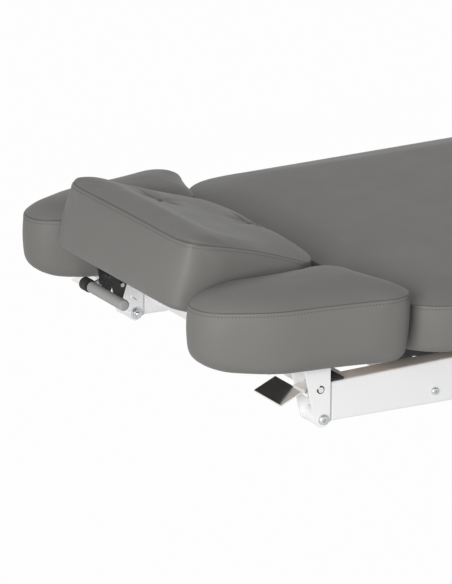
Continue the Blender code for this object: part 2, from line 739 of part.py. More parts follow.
def make_cross_members(carriage, foot_x, column_x):
    half = between_rails()
    for word, x in (("head", SCREW_X), ("foot", foot_x - SPACER_FROM_END)):
        member = block((x - CROSS_SECTION / 2, -half, CROSS_TOP - CROSS_SECTION),
                       (x + CROSS_SECTION / 2, half, CROSS_TOP))
        solid("cross_member_" + word, member, "white", carriage, BEAM_EDGE, 1)
    for word, x in (("head", column_x - BEAM_SPREAD), ("foot", column_x + BEAM_SPREAD)):
        beam = block((x - BEAM / 2, -half, BEAM_TOP - BEAM), (x + BEAM / 2, half, BEAM_TOP))
        solid("saddle_beam_" + word, beam, "white", carriage, BEAM_EDGE, 1)
    bar_shape = block((HINGE_X, -half, CROSSBAR_TOP - CROSSBAR), (HINGE_X + CROSSBAR, half, CROSSBAR_TOP))
    crossbar = solid("headrest_crossbar", bar_shape, "white", carriage)
    crest = KNUCKLE_R - 2 * FIT
    lug = [(HINGE_X + crest * cos(angle), HINGE_Z + crest * sin(angle)) for angle in half_turn()]
    lug += [(HINGE_X - crest, CROSSBAR_TOP), (HINGE_X, CROSSBAR_TOP - CHEEK),
            (HINGE_X + LUG_FOOT_WIDTH, CROSSBAR_TOP - CHEEK)]
    for side in (-1, 1):
        y = [side * (LUG_AT + way * LUG / 2) for way in (-1, 1)]
        weld(crossbar, prism(lug, *y))
    reach = LUG_AT + LUG
    cut(crossbar, bar((HINGE_X, -reach, HINGE_Z), (HINGE_X, reach, HINGE_Z), HINGE_ROD_R + RUNNING))
    rod_end = LUG_AT + LUG / 2 + HINGE_ROD_OVER
    rod = bar((HINGE_X, -rod_end, HINGE_Z), (HINGE_X, rod_end, HINGE_Z), HINGE_ROD_R)
    solid("headrest_hinge_rod", rod, "steel", carriage)


def make_column(base, lift):
    """The telescopic column in floor coordinates, under the middle of the bed."""
    base_top = FOOT_HEIGHT + FIT + BASE_HEIGHT
    saddle_top = PIVOT_HEIGHT + BEAM_TOP - BEAM - FIT
    saddle_bottom = saddle_top - SADDLE
    plate = block((-SADDLE_LENGTH / 2, -SADDLE_WIDTH / 2, saddle_bottom),
                  (SADDLE_LENGTH / 2, SADDLE_WIDTH / 2, saddle_top))
    solid("saddle_plate", plate, "white", lift, BEAM_EDGE, 1)
    wall, hollow = square_tube(OUTER, OUTER_WALL, base_top + FIT, OUTER_TOP)
    cut(solid("column_outer", wall, "white", base), hollow)
    collar_wall = (OUTER - INNER) / 2 - COLLAR_GAP
    wall, hollow = square_tube(OUTER, collar_wall, OUTER_TOP + FIT, OUTER_TOP + FIT + COLLAR)
    cut(solid("column_collar", wall, "rubber", base), hollow)
    wall, hollow = square_tube(INNER, INNER_WALL, INNER_BOTTOM, saddle_bottom - FIT)
    cut(solid("column_inner", wall, "steel", lift), hollow)
    glide_section = OUTER - 2 * OUTER_WALL - 2 * FIT
    glide_wall = (glide_section - INNER) / 2 - FIT
    wall, hollow = square_tube(glide_section, glide_wall, INNER_BOTTOM, INNER_BOTTOM + GLIDE)
    cut(solid("column_glide", wall, "rubber", lift), hollow)
    floor = base_top + FIT + CYLINDER_FLOOR
    tube = bar((0, 0, base_top + FIT), (0, 0, CYLINDER_TOP), CYLINDER_R, LARGE_ROUND)
    cylinder = solid("lift_cylinder", tube, "black", base)
    cut(cylinder, bar((0, 0, floor), (0, 0, CYLINDER_TOP + CYLINDER_FLOOR), RAM_R + RAM_GAP, LARGE_ROUND))
    ram = bar((0, 0, RAM_BOTTOM), (0, 0, saddle_bottom - FIT), RAM_R, LARGE_ROUND)
    solid("lift_ram", ram, "steel", lift)


def make_base(base, pedal):
    low = FOOT_HEIGHT + FIT
    high = low + BASE_HEIGHT
    end = BASE_LENGTH / 2
    spine = block((BASE_BAR + FIT - end, -BASE_SPINE_WIDTH / 2, low),
                  (end - BASE_BAR - FIT, BASE_SPINE_WIDTH / 2, high))
    solid("base_spine", spine, "white", base, BASE_EDGE)
    for word, way in (("head", -1), ("foot", 1)):
        crossbar = block((way * end, -BASE_WIDTH / 2, low), (way * (end - BASE_BAR), BASE_WIDTH / 2, high))
        solid("base_crossbar_" + word, crossbar, "white", base, BASE_EDGE)
        for corner, side in SIDES:
            x = way * (end - BASE_BAR / 2)
            y = side * (BASE_WIDTH / 2 - FOOT_FROM_END)
            foot = bar((x, y, 0), (x, y, FOOT_HEIGHT), FOOT_R, LARGE_ROUND)
            solid("foot_" + word + "_" + corner, foot, "rubber", base, FOOT_EDGE, 1)
    make_pump(base, pedal, high + FIT)


def pump_x():
    return OUTER / 2 + PUMP_GAP


def make_pump(base, pedal, floor):
    """The foot pump beside the column, and its pedal, which turns on a pin in the pump."""
    x = pump_x()
    half = PUMP_WIDTH / 2
    housing = block((x, -half, floor), (x + PUMP_LENGTH, half, floor + PUMP_HEIGHT))
    pump = solid("pump_block", housing, "black", base)
    slot = PEDAL_ARM_WIDTH / 2 + 2 * FIT
    middle = x + PUMP_LENGTH / 2
    cut(pump, block((middle - slot, -PUMP_WIDTH, floor + PEDAL_HEIGHT - 3 * PEDAL_ARM),
                    (middle + slot, half / 2, floor + PUMP_HEIGHT + PEDAL_ARM)),
        bar((x - FOOT_R, 0, floor + PEDAL_HEIGHT), (x + PUMP_LENGTH + FOOT_R, 0, floor + PEDAL_HEIGHT),
            PEDAL_PIN_R + RUNNING))
    arm = PEDAL_ARM_WIDTH / 2
    lever_arm = block((-arm, -PEDAL_REACH - PAD_WIDTH / 2, -PEDAL_ARM / 2), (arm, PEDAL_ARM, PEDAL_ARM / 2))
    lever = solid("pump_pedal", lever_arm, "steel", pedal)
    pin = PUMP_LENGTH / 2 + PEDAL_PIN_R / 2
    weld(lever, bar((-pin, 0, 0), (pin, 0, 0), PEDAL_PIN_R))
    pad_top = PEDAL_ARM / 2 + FIT
    pad = block((-PAD_LENGTH / 2, -PEDAL_REACH - PAD_WIDTH / 2, pad_top),
                (PAD_LENGTH / 2, -PEDAL_REACH + PAD_WIDTH / 2, pad_top + PAD_THICK))
    solid("pedal_pad", pad, "rubber", pedal, PAD_EDGE)


def make_bed():
    base = datum("base")
    lift = datum("lift")
    pump_floor = FOOT_HEIGHT + 2 * FIT + BASE_HEIGHT
    pedal = datum("pedal", (pump_x() + PUMP_LENGTH / 2, 0, pump_floor + PEDAL_HEIGHT), parent=base)
    carriage = datum("carriage", parent=lift)
    headrest = datum("headrest", (HINGE_X, 0, HINGE_Z), TILT, carriage)
    handle = datum("handle", (HANDLE_X, 0, HANDLE_Z), parent=headrest)
    head_reach = max(make_headrest(headrest, handle), -ARM_HEAD_OUTER[0])
    column_x = BED_LENGTH / 2 - head_reach
    carriage.location = (-column_x, 0, PIVOT_HEIGHT)
    body_end = BED_LENGTH - head_reach
    foot_x = body_end - RAIL_FOOT_SHORT
    for word, side in SIDES:
        armrest = datum("armrest_" + word, parent=carriage)
        paddle = datum("paddle_" + word, (PADDLE_X, 0, PADDLE_Z), PADDLE_REST[word], armrest)
        make_armrest(word, side, armrest, paddle)
        make_rail(word, side, carriage, foot_x, column_x)
    make_body(carriage, body_end)
    make_cross_members(carriage, foot_x, column_x)
    make_column(base, lift)
    make_base(base, pedal)


clear_scene()
MATERIALS = {
    "vinyl": material("grey_vinyl", (0.181, 0.178, 0.168), 0.45),
    "plywood": material("plywood", (0.50, 0.36, 0.20), 0.6),
    "white": material("white_powder_coat", (0.82, 0.82, 0.81), 0.4),
    "black": material("black_steel", (0.02, 0.02, 0.022), 0.4, 0.3),
    "steel": material("bright_steel", (0.55, 0.55, 0.56), 0.3, 1.0),
    "chrome": material("chrome", (0.80, 0.80, 0.81), 0.12, 1.0),
    "zinc": material("zinc", (0.60, 0.60, 0.58), 0.35, 1.0),
    "foam": material("grey_foam", (0.42, 0.42, 0.42), 0.8),
    "rubber": material("black_rubber", (0.025, 0.025, 0.025), 0.7),
}
make_bed()
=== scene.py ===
"""Looks of the spa treatment bed: padded cushions, finishes, light and camera, in metres."""
import json
from math import cos, pi, radians, sin

import bmesh
import bpy
import numpy as np
from mathutils import Matrix, Vector
from mathutils.bvhtree import BVHTree


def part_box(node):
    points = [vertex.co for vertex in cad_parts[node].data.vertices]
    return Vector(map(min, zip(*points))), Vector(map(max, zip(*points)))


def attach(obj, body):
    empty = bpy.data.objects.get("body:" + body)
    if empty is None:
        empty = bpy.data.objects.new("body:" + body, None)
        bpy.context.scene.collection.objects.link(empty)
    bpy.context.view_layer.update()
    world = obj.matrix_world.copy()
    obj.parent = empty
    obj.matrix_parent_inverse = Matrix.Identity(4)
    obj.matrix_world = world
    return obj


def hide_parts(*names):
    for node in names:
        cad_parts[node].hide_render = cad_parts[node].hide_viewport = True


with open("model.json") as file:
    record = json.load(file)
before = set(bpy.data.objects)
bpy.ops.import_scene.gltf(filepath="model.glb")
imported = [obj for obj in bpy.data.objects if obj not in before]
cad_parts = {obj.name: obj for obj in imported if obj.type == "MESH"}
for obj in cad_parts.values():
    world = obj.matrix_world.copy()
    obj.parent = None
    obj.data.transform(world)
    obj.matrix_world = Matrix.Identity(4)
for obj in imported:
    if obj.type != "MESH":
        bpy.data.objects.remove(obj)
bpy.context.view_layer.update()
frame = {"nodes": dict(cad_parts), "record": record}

# Photograph: size and focal length in pixels, view angles, and the camera's place from the near pivot
PHOTO_SIZE = (452, 584)
AZIMUTH = radians(30.5)
ELEVATION = radians(18.6)
FOCAL_PIXELS = 3959.0
SENSOR = 36.0
CAMERA_FROM_PIVOT = Vector((-2.6227, -4.1985, 1.8449))

# Cushions: seam over the underside, crown over the seam, and the power that fills the crown out to its edges
BODY_SEAM = 0.069
BODY_CROWN = 0.019
BODY_POWER = 9
ARM_SEAM = 0.091
ARM_CROWN = 0.0175
ARM_POWER = 4
HEADREST_SEAM = 0.090
HEADREST_ARCH = 0.009
HEADREST_POWERS = (12, 18)
HEADREST_TILT = radians(18.0)
# Share by which an armrest's crown is higher on its inner side and lower on its outer side
ARM_LEAN = 0.28
# Move of the foot end at the seam, and how much more its corners move
ARM_REACH = (0.005, 0.0)
HEADREST_REACH = (-0.004, -0.026)
# Board let into an underside: its inset and depth, and the room round it
ARM_BOARD = (0.026, 0.011)
HEADREST_BOARD = (0.018, 0.012)
RECESS = 0.0006
# Lower edge: its round, how an armrest's ends are drawn short and lifted, and the foot end's part of that
UNDER_ROUND = 0.014
HEADREST_UNDER_ROUND = 0.008
UNDER_ROWS = 4
ARM_SWEEP = 0.30
ARM_SWEEP_LIFT = 1.2
ARM_FOOT_SWEEP = 0.1
SWEEP_POWER = 4
# Outline: the round below a solid's seam, where the outline is read, and its smoothing
EDGE_ROUND = 0.006
LEVEL_TOLERANCE = 0.0002
LOOP_FINER = 8
LOOP_KEEP = 0.5
LOOP_PASSES = 30
HEADREST_PASSES = 300
# Rows: spacing, fewest up a side, those next to the seam in its half widths, and how far the top closes
PANEL_STEP = 0.008
LONG_PANEL_STEP = 0.011
LEAST_ROWS = 3
BELOW_SEAM = (3.0, 1.0)
ABOVE_SEAM = (2.0, 6.0)
TOP_CLOSES = 0.94

# Headrest relief: each end's roll as place, width, height and fall to the sides, and the valley between
HEAD_ROLL = (-0.82, 0.50, 0.0125, 0.0)
FOOT_ROLL = (0.90, 0.50, 0.0165, 0.65)
ROLL_BASE = 0.002
VALLEY_X = -0.160
VALLEY_DEPTH = 0.002
VALLEY_WIDTH = 0.022
# Each pucker's place, half length, depth and slant, then the slit, dimple and folds, and the painted shade
# along the slits, that they share
PUCKERS = ((-0.127, 0.079, 0.024, 0.0085, -0.34), (-0.033, -0.010, 0.026, 0.0080, -0.12))
PUCKER_WIDTH = 0.0042
DIMPLE_WIDTH = 0.030
DIMPLE_SHARE = 0.45
FOLD_DEPTH = 0.0011
FOLD_WIDTH = 0.034
FOLD_COUNT = 5
FOLD_TURN = 10.0
PAINTED_SHADE_WIDTH = 0.7
PAINTED_SHADE_DEPTH = 0.9

# Sewing: the seam's groove, the bulge of the sides, and the stitches below the seam
SEAM_DEPTH = 0.0009
SEAM_HALF = 0.0008
SIDE_BULGE = 0.002
STITCH_BELOW = 0.0046
STITCH_PITCH = 0.0046
STITCH_LENGTH = 0.0022
STITCH_RADIUS = 0.0005
STITCH_RISE = 0.4
# Filling: a point's furthest travel, the simulation's frames and pressure, and subdivision
SWELL = 0.003
SIM_FRAMES = 20
SIM_PRESSURE = 6.0
PAD_LEVELS = 1
HEADREST_LEVELS = 2

# Button heads: head radius, head height and socket radius, then the shank's radius where there is one
PIVOT_BOLT = (0.0073, 0.0050, 0.0030, 0.0040)
RAIL_SCREW = (0.0055, 0.0038, 0.0022, 0.0030)
BRACKET_SCREW = (0.0050, 0.0034, 0.0020)
BRACKET_SCREW_AT = (-0.138, 0.1149, -0.010)
# Shares of a head: the socket's depth, its rim's radius and depth, and the dome's rings as radius and height
SOCKET_DEPTH = 0.62
SOCKET_RIM = (1.12, 0.06)
DOME = ((0.62, 0.05), (0.82, 0.22), (0.95, 0.50), (1.0, 0.78), (0.98, 1.0))
SHANK_CHAMFER = 0.2
# Flanged nut: radii, the chamfered end's share of the hexagon, and where along it hexagon and flange begin
NUT_FLANGE = 0.0090
NUT_HEX = 0.0073
NUT_BORE = 0.0043
NUT_CHAMFER = 0.86
NUT_LEVELS = (0.12, 0.70, 0.82)
# Turned pieces: steps round, sides of a hexagon, and the angle from which an edge is sharp
TURN_STEPS = 48
HEX = 6
SHARP_ANGLE = radians(35)
# Retaining ring on a paddle's shaft: inner radius, outer radius and thickness, then its opening and turn
SHAFT_RING = (0.0040, 0.0055, 0.0010)
RING_OPENING = radians(62)
RING_TURN = radians(-40)
# Front lip of the headrest bracket, in the headrest's own axes
LIP_LOW = (-0.1538, 0.1192, -0.0060)
LIP_HIGH = (-0.1515, 0.1499, 0.0059)
LIP_EDGE = 0.0006
LIP_SEGMENTS = 2
# Foam grip: its rounded edge and its bore
GRIP_EDGE = 0.0035
GRIP_EDGE_STEPS = 4
GRIP_BORE = 0.0043

# Coats: the whites, how gloss and grain vary, and how level a face is that counts as facing up
WHITE = (0.89, 0.89, 0.895)
# Warm beige that the rails' upward faces are drawn in
WARM_WHITE = (0.86, 0.75, 0.67)
WHITE_COAT = {"roughness": 0.36, "variation": 0.015, "grain": 900.0, "relief": 0.00008}
GLOSS_SPREAD = 0.25
SMUDGES_FINER = 4
SMUDGE_DETAIL = 5.0
GRAIN_DETAIL = 2.0
UPWARD = 0.9
# Vinyl: mottling as share and scale, how dark the painted shade in its creases makes it, gloss, and pebbles
# as scale, height and strength
VINYL = (0.170, 0.167, 0.159)
VINYL_MOTTLE = (0.05, 7.0)
PAINTED_CREASE_SHADE = 0.48
VINYL_ROUGHNESS = (0.42, 0.55)
VINYL_GLOSS = {"scale": 30.0, "detail": 4.0}
VINYL_SPECULAR = 0.20
PEBBLE_SCALE = 620.0
PEBBLE_RELIEF = (0.00012, 0.45)
# Plywood: the two colours of its plies, its paint, its bare edge towards the head end, and its fibres
PLIES = ((0.46, 0.27, 0.12), (0.66, 0.45, 0.25))
PLY_SCALE = 85.0
PLY_DISTORTION = 0.6
BLACK_PAINT = (0.012, 0.012, 0.013)
HEADWARD = -0.95
FIBRES = {"scale": 240.0, "detail": 4.0}
FIBRE_RELIEF = 0.0002
PLYWOOD_ROUGHNESS = (0.5, 0.8)
# The Mix node's two colour inputs and its colour output
MIX_INPUTS = (6, 7)
MIX_OUTPUT = 2

# Stage and light
STAGE_SIZE = 40.0
FLOOR_GREY = 0.62
FLOOR_ROUGHNESS = 0.9
FLOOR_GLOW = 0.98
AMBIENT = 0.46
KEY_POWER = 134.0
KEY_SIZE = 1.6
KEY_FROM_BED = Vector((-2.9, -2.9, 1.0))


def centre_of(node):
    low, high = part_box(node)
    return (low + high) / 2


def outer_face(node, outward):
    """The Y of a node's face on the side that is named by a sign."""
    low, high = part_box(node)
    return low.y if outward < 0 else high.y


def add_object(name, mesh, finish, body):
    """A piece that rides on a body, in the finish that is given."""
    piece = bpy.data.objects.new(name, mesh)
    bpy.context.scene.collection.objects.link(piece)
    mesh.materials.append(FINISHES[finish])
    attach(piece, body)
    return piece


def smooth_mesh(name, shape):
    mesh = bpy.data.meshes.new(name)
    shape.to_mesh(mesh)
    shape.free()
    mesh.shade_smooth()
    return mesh


def place_camera():
    """The photograph's view, set from the near armrest's pivot."""
    pivot = centre_of("pivot_bolt_near")
    pivot.y = outer_face("armrest_bracket_near", -1)
    forward = Vector((sin(AZIMUTH) * cos(ELEVATION), cos(AZIMUTH) * cos(ELEVATION), -sin(ELEVATION)))
    right = Vector((cos(AZIMUTH), -sin(AZIMUTH), 0))
    up = right.cross(forward)
    data = bpy.data.cameras.new("camera")
    data.sensor_fit = "VERTICAL"
    data.sensor_height = SENSOR
    data.lens = FOCAL_PIXELS / PHOTO_SIZE[1] * SENSOR
    data.clip_end = STAGE_SIZE
    camera = bpy.data.objects.new("camera", data)
    turn = Matrix((right, up, -forward)).transposed().to_4x4()
    camera.matrix_world = Matrix.Translation(pivot + CAMERA_FROM_PIVOT) @ turn
    bpy.context.scene.collection.objects.link(camera)
    bpy.context.scene.camera = camera


# Finishes

def node_tree(name):
    made = bpy.data.materials.new(name)
    made.use_nodes = True
    tree = made.node_tree
    return made, tree, tree.nodes["Principled BSDF"]


def noise_node(tree, scale, detail=3.0):
    """Noise in the bed's own coordinates, so features are in fractions of a metre."""
    place = tree.nodes.new("ShaderNodeTexCoord")
    made = tree.nodes.new("ShaderNodeTexNoise")
    made.inputs["Scale"].default_value = scale
    made.inputs["Detail"].default_value = detail
    tree.links.new(place.outputs["Object"], made.inputs["Vector"])
    return made.outputs["Fac"]


def mix_colours(tree, factor, first, second):
    made = tree.nodes.new("ShaderNodeMix")
    made.data_type = "RGBA"
    tree.links.new(factor, made.inputs["Factor"])
    for number, value in zip(MIX_INPUTS, (first, second)):
        socket = made.inputs[number]
        if isinstance(value, bpy.types.NodeSocket):
            tree.links.new(value, socket)
        else:
            socket.default_value = (*value, 1.0)
    return made.outputs[MIX_OUTPUT]


def spread(tree, factor, low, high):
    made = tree.nodes.new("ShaderNodeMapRange")
    made.inputs["To Min"].default_value = low
    made.inputs["To Max"].default_value = high
    tree.links.new(factor, made.inputs["Value"])
    return made.outputs["Result"]


def add_bump(tree, shader, height, distance, strength=1.0):
    made = tree.nodes.new("ShaderNodeBump")
    made.inputs["Distance"].default_value = distance
    made.inputs["Strength"].default_value = strength
    tree.links.new(height, made.inputs["Height"])
    tree.links.new(made.outputs["Normal"], shader.inputs["Normal"])


def shade(colour, factor):
    return tuple(min(1.0, part * factor) for part in colour)


def mottled(tree, colour, share, scale):
    """A colour that goes cloudily from a share darker to a share lighter."""
    clouds = noise_node(tree, scale)
    return mix_colours(tree, clouds, shade(colour, 1 - share), shade(colour, 1 + share))


def where_facing(tree, axis, operation, limit):
    """1 where a solid's own face points along an axis beyond a limit, 0 elsewhere."""
    place = tree.nodes.new("ShaderNodeTexCoord")
    split = tree.nodes.new("ShaderNodeSeparateXYZ")
    tree.links.new(place.outputs["Normal"], split.inputs[0])
    made = tree.nodes.new("ShaderNodeMath")
    made.operation = operation
    made.inputs[1].default_value = limit
    tree.links.new(split.outputs[axis], made.inputs[0])
    return made.outputs[0]


def coat(name, colour, roughness, metallic=0.0, variation=0.04, cloud=18.0, grain=700.0, relief=0.00005,
         upper=None):
    """A painted, plated or moulded surface: cloudy colour and gloss, and a fine texture."""
    made, tree, shader = node_tree(name)
    tint = mottled(tree, colour, variation, cloud)
    if upper:
        tint = mix_colours(tree, where_facing(tree, "Z", "GREATER_THAN", UPWARD), tint, upper)
    tree.links.new(tint, shader.inputs["Base Color"])
    smudges = noise_node(tree, cloud * SMUDGES_FINER, SMUDGE_DETAIL)
    gloss = spread(tree, smudges, roughness * (1 - GLOSS_SPREAD), roughness * (1 + GLOSS_SPREAD))
    tree.links.new(gloss, shader.inputs["Roughness"])
    shader.inputs["Metallic"].default_value = metallic
    add_bump(tree, shader, noise_node(tree, grain, GRAIN_DETAIL), relief)
    return made


def vinyl():
    """Upholstery vinyl: a pebbled grain, soft mottling, and painted shade in the seams' grooves and the
    puckers' slits.
    """
    made, tree, shader = node_tree("upholstery_vinyl")
    # Painted shade: a vertex attribute draws the vinyl darker in the seams' grooves and the puckers' slits
    painted_crease_shade = tree.nodes.new("ShaderNodeAttribute")
    painted_crease_shade.attribute_name = "painted_crease_shade"
    tint = mix_colours(tree, painted_crease_shade.outputs["Fac"], mottled(tree, VINYL, *VINYL_MOTTLE),
                       shade(VINYL, PAINTED_CREASE_SHADE))
    tree.links.new(tint, shader.inputs["Base Color"])
    gloss = noise_node(tree, **VINYL_GLOSS)
    tree.links.new(spread(tree, gloss, *VINYL_ROUGHNESS), shader.inputs["Roughness"])
    shader.inputs["Specular IOR Level"].default_value = VINYL_SPECULAR
    place = tree.nodes.new("ShaderNodeTexCoord")
    pebbles = tree.nodes.new("ShaderNodeTexVoronoi")
    pebbles.inputs["Scale"].default_value = PEBBLE_SCALE
    tree.links.new(place.outputs["Object"], pebbles.inputs["Vector"])
    add_bump(tree, shader, pebbles.outputs["Distance"], *PEBBLE_RELIEF)
    return made


def plywood():
    """Birch plywood, painted black except on its edge towards the head end, which shows the plies."""
    made, tree, shader = node_tree("birch_plywood")
    place = tree.nodes.new("ShaderNodeTexCoord")
    plies = tree.nodes.new("ShaderNodeTexWave")
    plies.wave_type = "BANDS"
    plies.bands_direction = "Z"
    plies.inputs["Scale"].default_value = PLY_SCALE
    plies.inputs["Distortion"].default_value = PLY_DISTORTION
    tree.links.new(place.outputs["Object"], plies.inputs["Vector"])
    wood = mix_colours(tree, plies.outputs["Fac"], *PLIES)
    tint = mix_colours(tree, where_facing(tree, "X", "LESS_THAN", HEADWARD), BLACK_PAINT, wood)
    tree.links.new(tint, shader.inputs["Base Color"])
    fibres = noise_node(tree, **FIBRES)
    tree.links.new(spread(tree, fibres, *PLYWOOD_ROUGHNESS), shader.inputs["Roughness"])
    add_bump(tree, shader, fibres, FIBRE_RELIEF)
    return made


def make_finishes():
    return {
        "grey_vinyl": vinyl(),
        "plywood": plywood(),
        "white_coat": coat("white_powder_coat", WHITE, **WHITE_COAT),
        "rail_coat": coat("rail_powder_coat", WHITE, upper=WARM_WHITE, **WHITE_COAT),
        "black_coat": coat("black_powder_coat", (0.016, 0.016, 0.017), roughness=0.42, grain=900.0,
                           relief=0.0001),
        "bright_steel": coat("bright_steel", (0.56, 0.56, 0.57), roughness=0.28, metallic=1.0,
                             relief=0.00001),
        "chrome": coat("polished_chrome", (0.80, 0.77, 0.73), roughness=0.10, metallic=1.0, variation=0.02,
                       relief=0.00001),
        "zinc": coat("zinc_plate", (0.60, 0.62, 0.63), roughness=0.34, metallic=1.0, variation=0.12,
                     cloud=160.0),
        "grey_foam": coat("grey_foam", (0.36, 0.36, 0.35), roughness=0.85, variation=0.08, cloud=400.0,
                          grain=1500.0, relief=0.0003),
        "black_rubber": coat("black_rubber", (0.022, 0.022, 0.023), roughness=0.68, variation=0.1),
        "thread": coat("sewing_thread", (0.050, 0.049, 0.047), roughness=0.7, variation=0.15, cloud=900.0),
    }


# Cushions

def closed_path(points):
    """A closed loop with its first point again at the end, and the length up to each point."""
    closed = np.vstack((points, points[:1]))
    steps = np.linalg.norm(np.diff(closed, axis=0), axis=1)
    return closed, np.concatenate(([0.0], np.cumsum(steps)))


def smooth_loop(points, along, spacing, passes):
    """A closed loop of even steps through rough points, starting at its end along one axis."""
    centre = points.mean(axis=0)
    bearing = np.arctan2(points[:, 1] - centre[1], points[:, 0] - centre[0])
    closed, lengths = closed_path(points[np.argsort(bearing)])
    count = 2 * round(lengths[-1] / spacing / 2)
    places = np.linspace(0, lengths[-1], count * LOOP_FINER, endpoint=False)
    loop = np.column_stack([np.interp(places, lengths, closed[:, axis]) for axis in (0, 1)])
    for _ in range(passes):
        beside = np.roll(loop, 1, axis=0) + np.roll(loop, -1, axis=0)
        loop = LOOP_KEEP * loop + (1 - LOOP_KEEP) / 2 * beside
    start = int(np.argmin(loop[:, along]))
    return np.roll(loop, -start, axis=0)[::LOOP_FINER]


def outward_normals(loop):
    run = np.roll(loop, -1, axis=0) - np.roll(loop, 1, axis=0)
    normal = np.column_stack((run[:, 1], -run[:, 0]))
    return normal / np.linalg.norm(normal, axis=1)[:, None]


def spine_of(loop, along):
    """The middle line that the top's rows close on to, point by point."""
    mirrored = np.roll(loop[::-1], 1, axis=0)
    middle = (loop + mirrored) / 2
    size = np.ptp(loop, axis=0)
    centre = loop.mean(axis=0)
    keep = 1 - size[1 - along] / size[along]
    return centre + (middle - centre) * keep


def dip(distance, width):
    return np.exp(-(distance / width) ** 2)


def from_middle(plan, loop, axis):
    """Each point's place along an axis, from -1 to 1 over the loop."""
    low = loop[:, axis].min()
    high = loop[:, axis].max()
    return np.clip(2 * (plan[:, axis] - low) / (high - low) - 1, -1, 1)


def crowned_top(spec, loop):
    """The rise over the seam of a crowned top, which may be fuller on one side of the bed."""
    def rise(plan, share):
        leaning = 1 + spec["lean"] * from_middle(plan, loop, 1)
        return spec["crown"] * (1 - (1 - share) ** spec["power"]) * leaning
    return rise


def filled(plan, loop):
    """How full the headrest's top is: 1 over most of it, 0 at its edges."""
    along, across = HEADREST_POWERS
    return (1 - from_middle(plan, loop, 0) ** along) * (1 - from_middle(plan, loop, 1) ** across)


def arched_top(spec, loop):
    """The rise over the seam of the headrest's top: arched along the bed, with a roll at each end."""
    def rise(plan, share):
        u = from_middle(plan, loop, 0)
        v = from_middle(plan, loop, 1)
        rolls = np.full(len(plan), ROLL_BASE)
        for place, width, height, fall in (HEAD_ROLL, FOOT_ROLL):
            rolls += (height - ROLL_BASE) * dip(u - place, width) * (1 - fall * v ** 2)
        return spec["arch"] * (1 - u ** 2) + rolls * filled(plan, loop)
    return rise


def drawn_short(plan, loop, share):
    """Plan points moved towards the middle of the bed's length by a share of their distance."""
    middle = (loop[:, 0].min() + loop[:, 0].max()) / 2
    moved = plan.copy()
    moved[:, 0] = middle + (plan[:, 0] - middle) * (1 - share)
    return moved


def lower_rows(loop, square, spec):
    """Rows of the board's recess and of the rounded lower edge."""
    rows = []
    flat = np.zeros(len(loop))
    normal = outward_normals(loop)
    if "board" in spec:
        inset, depth = spec["board"]
        hollow = drawn_short(square - outward_normals(square) * (inset - RECESS), square, spec["sweep"])
        rows.append((hollow, flat + depth + RECESS, "held"))
        rows.append((hollow, flat, "held"))
    u = from_middle(loop, loop, 0)
    swept = np.where(u > 0, spec["foot_sweep"], 1.0)
    higher = spec["under"] * (1 + spec["lift"] * swept * u ** SWEEP_POWER)
    for k in range(UNDER_ROWS + 1):
        angle = pi / 2 * k / UNDER_ROWS
        inset = 1 - sin(angle)
        plan = drawn_short(loop - normal * spec["under"] * inset, loop, spec["sweep"] * swept * inset)
        rows.append((plan, higher * (1 - cos(angle)), "free" if k else "held"))
    return rows


def reached(loop, spec):
    """The loop with its foot end moved along the bed, by one amount at its middle and more at its corners."""
    middle, corners = spec["reach"]
    moved = loop.copy()
    foot = np.clip(from_middle(loop, loop, 0), 0, 1) ** 2
    moved[:, 0] += (middle + corners * from_middle(loop, loop, 1) ** 2) * foot
    return moved


def cushion_rows(base, square, along, spec, step):
    """Rows of points from the underside to the middle of the top, as plan, height and row kind."""
    loop = reached(base, spec)
    normal = outward_normals(loop)
    spine = spine_of(loop, along)
    rows = lower_rows(base, square, spec)
    low = rows[-1][1]
    seam = spec["seam"] + spec["arch"] * (1 - from_middle(loop, loop, 0) ** 2)
    lower, upper = (seam - k * SEAM_HALF for k in BELOW_SEAM)
    count = max(LEAST_ROWS, round((lower - low).mean() / step))
    for k in range(1, count + 1):
        share = k / count
        plan = base + (loop - base) * share + normal * SIDE_BULGE * sin(pi * share)
        rows.append((plan, low + (lower - low) * share, "free"))
    rows.append((loop, upper, "free"))
    rows.append((loop - normal * SEAM_DEPTH, seam, "seam"))
    half = np.median(np.linalg.norm(loop - spine, axis=1))
    insets = [k * SEAM_HALF for k in ABOVE_SEAM]
    count = round((half - insets[-1]) / step)
    insets += [insets[-1] + (half * TOP_CLOSES - insets[-1]) * k / count for k in range(1, count + 1)]
    rise = spec["top"](spec, loop)
    for inset in insets:
        share = inset / half
        plan = loop * (1 - share) + spine * share
        rows.append((plan, spec["seam"] + rise(plan, share), "free"))
    return rows


def cap(shape, row):
    """Closes a row across its middle line."""
    count = len(row)
    half = count // 2
    shape.faces.new((row[0], row[1], row[-1]))
    for k in range(1, half - 1):
        shape.faces.new((row[k], row[k + 1], row[count - k - 1], row[count - k]))
    shape.faces.new((row[half - 1], row[half], row[half + 1]))


